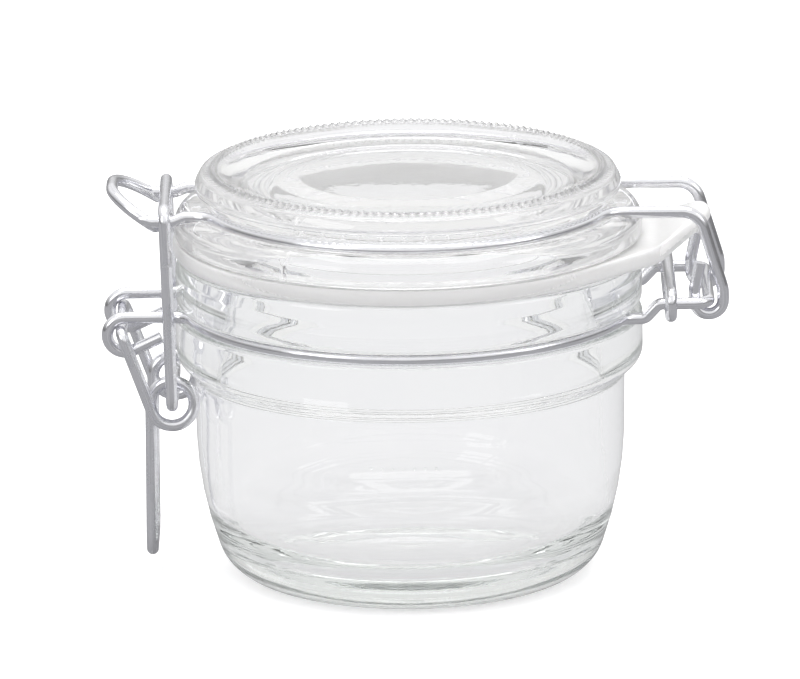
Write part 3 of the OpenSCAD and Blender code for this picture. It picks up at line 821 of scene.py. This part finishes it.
def make_lid_ring():
    """Ring round the lid, out to the upturned nose and down into the two hinge hooks."""
    r, fillet, hook_r = lid_ring_r, 6.0, 2.5
    nose_z = lid_ring_z - 0.8
    nose_x = -box_mm("lid_ring")[0][0] - WIRE_R
    tip_z = box_mm("lid_ring")[1][2] - WIRE_R
    nose_len = 6.3
    nose_bend = nose_x - nose_len
    dip_x = arm_start(r, ARM_HALF, fillet) + 0.6
    turn = leave_angle(r, ARM_HALF, fillet)
    half = [
        (-nose_x, 0.0, tip_z), (-nose_x, ARM_HALF, tip_z, 9.0),
        (-nose_bend, ARM_HALF, nose_z, 3.0), (-dip_x - 2.0, ARM_HALF, nose_z, 2.0),
        (-dip_x, ARM_HALF, lid_ring_z, 2.0),
        (-corner_of(r, ARM_HALF, fillet), ARM_HALF, lid_ring_z, fillet)]
    half += ring_points(r, lid_ring_z, math.pi - turn, turn)
    half += [
        (corner_of(r, ARM_HALF, fillet), ARM_HALF, lid_ring_z, fillet),
        (hinge_x - 1.8, ARM_HALF, lid_ring_z, 4.0),
        (hinge_x + hook_r, ARM_HALF, hinge_z + 2.0, 6.0)]
    half += upright_arc(hinge_x, ARM_HALF, hinge_z, hook_r, 0, -180)
    half += [(hinge_x - hook_r, ARM_HALF, hinge_z + 2.0, 4.0),
             (hinge_x - hook_r + 1.0, ARM_HALF, hinge_z + 6.8)]
    make_wire("lid_ring_wire", bent(mirrored(half)), "cover", "lid_ring",
              bail_steel)


def make_lever():
    """Handle loop, a coil on each leg, and diagonals up to the bar that turns in the eyes."""
    coil_r, bar_r = 3.8, 1.6
    handle_lean = math.radians(1.0)
    run = math.hypot(coil_x - pivot_x, coil_z - pivot_z)
    slant = math.degrees(math.atan2(coil_z - pivot_z, coil_x - pivot_x)
                         - math.asin(coil_r / run))
    half = [(pivot_x, 0.0, pivot_z), (pivot_x, LEVER_HALF, pivot_z, bar_r)]
    turns = np.linspace(slant - 90, 180, 48)
    for k, t in enumerate(np.radians(turns)):
        share = k / (len(turns) - 1)
        ease = share * share * (3 - 2 * share)
        half.append((coil_x + coil_r * math.cos(t),
                     LEVER_HALF + (HANDLE_HALF - LEVER_HALF) * ease,
                     coil_z + coil_r * math.sin(t)))
    foot_z = box_mm("lever")[0][2] + WIRE_R
    handle_x = coil_x - coil_r
    foot_x = handle_x - (coil_z - foot_z) * math.tan(handle_lean) + 0.3
    half += [(handle_x, HANDLE_HALF, coil_z - 3.0, 20.0), (foot_x, HANDLE_HALF, foot_z, 3.0),
             (foot_x, 0.0, foot_z)]
    make_wire("lever_wire", bent(closed_route(half)), "lever", "lever",
              latch_steel, closed=True)


def closed_route(half):
    """A half route from one end bar's middle to the other's, joined to its mirror image."""
    half = [tuple(p) for p in half]
    other = [(p[0], -p[1], *p[2:]) for p in reversed(half)]
    return half + other[1:]


def make_link():
    """Loop from the coils up over the nose, with a weld bead on its near leg."""
    high = box_mm("link")[1][2] - WIRE_R
    bend = 2.2
    top, bottom = np.array([-42.5, high]), np.array([coil_x, coil_z])
    weld = bottom + (top - bottom) * 0.74  # this share of the way up the near leg
    start = (weld[0], -LINK_HALF, weld[1])
    route = [start, (top[0], -LINK_HALF, top[1], bend), (top[0], LINK_HALF, top[1], bend),
             (bottom[0], LINK_HALF, bottom[1], bend), (bottom[0], -LINK_HALF, bottom[1], bend),
             start]
    make_wire("link_wire", spaced(bent(route), 0.35), "link", "link",
              latch_steel, closed=True, bead=(start, 2.6, 0.22))


make_jar()
make_lid()
make_pips()
make_gasket()
make_neck_ring()
make_neck_clip()
make_lid_ring()
make_lever()
make_link()


# ---- Floor and light -----------------------------------------------------------------

def first_shine(g, seen):
    """1 for what shows mirrored in the outside of a piece, 0 for what shows through glass."""
    ways = seen.node.outputs
    outside = g.math("LESS_THAN", ways["Transmission Depth"], 0.5)
    return g.math("MULTIPLY", ways["Is Glossy Ray"], outside)


def make_floor():
    """A wide, pale floor."""
    reach, sides, drop = 4000.0, 64, 0.02
    points = [(reach * math.cos(t), reach * math.sin(t), -drop)
              for t in np.linspace(0, math.tau, sides, endpoint=False)]
    floor = new_piece("floor", points, faces=[tuple(range(sides))])
    material = bpy.data.materials.new("Pale floor")
    material.use_nodes = True
    shader = material.node_tree.nodes["Principled BSDF"]
    shader.inputs["Roughness"].default_value = 0.9
    shader.inputs["Specular IOR Level"].default_value = 0.0
    g = Graph(material.node_tree)
    # lit from under it too; paler where it is seen directly than where it shows through glass
    seen = g.add("ShaderNodeLightPath")
    pale = g.blend(seen, (0.17, 0.17, 0.175, 1.0), (0.95, 0.95, 0.95, 1.0))
    g.feed(shader.inputs["Base Color"], pale)
    shader.inputs["Emission Color"].default_value = (0.99, 0.99, 1.0, 1.0)
    less_seen, less_mirrored = 0.36, 0.5
    glow = g.math("SUBTRACT", 0.68, g.math("MULTIPLY", seen, less_seen))
    glow = g.math("SUBTRACT", glow, g.math("MULTIPLY", first_shine(g, seen), less_mirrored))
    g.feed(shader.inputs["Emission Strength"], glow)
    floor.data.materials.append(material)


LIT_SPOT = Vector((0.0, 0.0, 0.04))  # the middle of the jar, which every lamp faces
LAMPS = (  # name, place, size in metres, watts
    ("overhead", (0.0, 0.1, 1.6), 1.5, 17.0),
    ("soft_left", (-1.0, -0.9, 0.7), 0.7, 2.6),
    ("soft_right", (1.2, -0.5, 0.8), 0.6, 2.0))


def make_light():
    """White studio surround with darker sides, and three soft lamps."""
    scene = bpy.context.scene
    world = bpy.data.worlds.new("Studio")
    scene.world = world
    world.use_nodes = True
    tree = world.node_tree
    tree.nodes.clear()
    g = Graph(tree)
    way = g.add("ShaderNodeTexCoord", out=0)
    split = tree.nodes.new("ShaderNodeSeparateXYZ")
    g.feed(split.inputs[0], way)
    # what is mirrored in metal and in the outside of glass has a dim horizon
    seen = g.add("ShaderNodeLightPath")
    shine = first_shine(g, seen)
    horizon = g.math("SUBTRACT", 0.92, g.math("MULTIPLY", shine, 0.82))
    up = g.add("ShaderNodeMapRange", {"Value": split.outputs["Z"], "From Min": -0.05,
                                      "From Max": 0.35, "To Min": horizon, "To Max": 1.0})
    side = g.math("ABSOLUTE", split.outputs["X"])
    side_level = g.math("SUBTRACT", 0.75, g.math("MULTIPLY", shine, 0.2))
    dark = g.add("ShaderNodeMapRange", {"Value": side, "From Min": 0.7, "From Max": 0.95,
                                        "To Min": 1.0, "To Max": side_level})
    level = g.math("MULTIPLY", up, dark)
    level = g.math("MAXIMUM", level, g.math("MULTIPLY", seen, 1.2))
    shade = g.add("ShaderNodeBackground", {"Color": (1.0, 1.0, 1.0, 1.0), "Strength": level})
    end = tree.nodes.new("ShaderNodeOutputWorld")
    g.feed(end.inputs["Surface"], shade)
    for name, spot, size, watts in LAMPS:
        lamp = bpy.data.lights.new(name, "AREA")
        lamp.shape = "SQUARE"
        lamp.size = size
        lamp.energy = watts
        holder = bpy.data.objects.new(name, lamp)
        holder.location = spot
        toward = LIT_SPOT - Vector(spot)
        holder.rotation_euler = toward.to_track_quat("-Z", "Y").to_euler()
        holder.visible_camera = False
        scene.collection.objects.link(holder)
    scene.view_settings.view_transform = "Standard"
    scene.cycles.max_bounces = 16
    scene.cycles.transmission_bounces = 16
    scene.cycles.glossy_bounces = 8


make_floor()
make_light()
